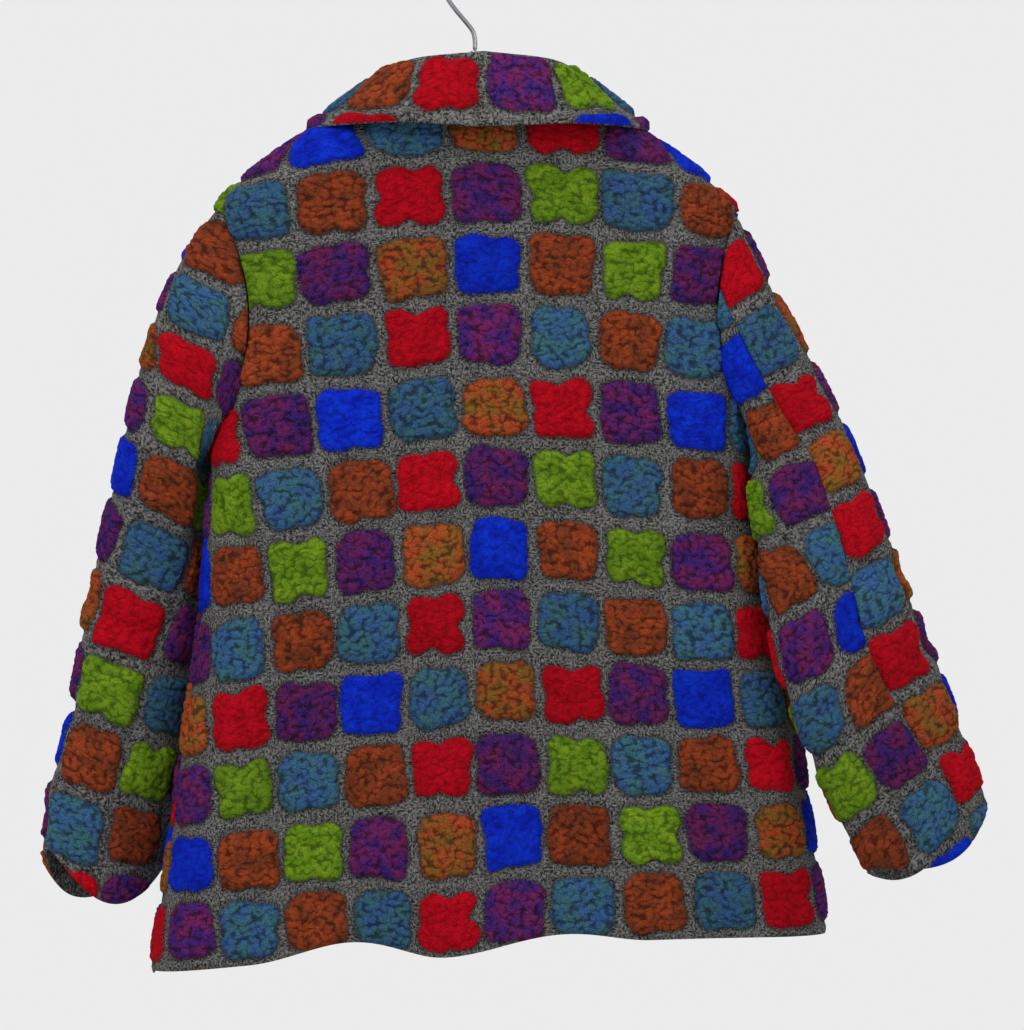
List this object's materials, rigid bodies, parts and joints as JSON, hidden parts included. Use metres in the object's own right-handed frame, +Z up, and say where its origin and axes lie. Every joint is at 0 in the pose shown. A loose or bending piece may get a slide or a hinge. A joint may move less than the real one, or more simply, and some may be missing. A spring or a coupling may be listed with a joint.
{
  "type": "short coat on a coat hanger",
  "caption": "A-line short coat of thick felted wool with raised square blocks, turn-down collar, set-in two-piece sleeves and a buttoned front, hung on a wooden bar hanger with a wire hook",
  "frame": {"origin": "inside top of the hook's bend, where it rests on a rod", "axes": "+Z up, +X toward the coat's right side as seen from behind, -Y toward the viewer of the picture, who sees the coat's back"},
  "size_m": [0.8009, 0.1905, 0.8385],
  "materials": {
    "wool": "thick felted wool, grey melange ground with raised crinkled colour blocks",
    "button": "plain dark buttons, softly polished",
    "bar_wood": "satin beech",
    "hook_steel": "bright drawn wire"
  },
  "bodies": {
    "root": {"back": "wool", "front_right": "wool", "front_left": "wool", "sleeve_right_upper": "wool", "sleeve_right_under": "wool", "sleeve_left_upper": "wool", "sleeve_left_under": "wool", "collar": "wool", "button_1": "button", "button_2": "button", "button_3": "button", "button_4": "button", "hanger_bar": "bar_wood", "hanger_ferrule": "hook_steel", "hanger_hook": "hook_steel"}
  },
  "joints": []
}
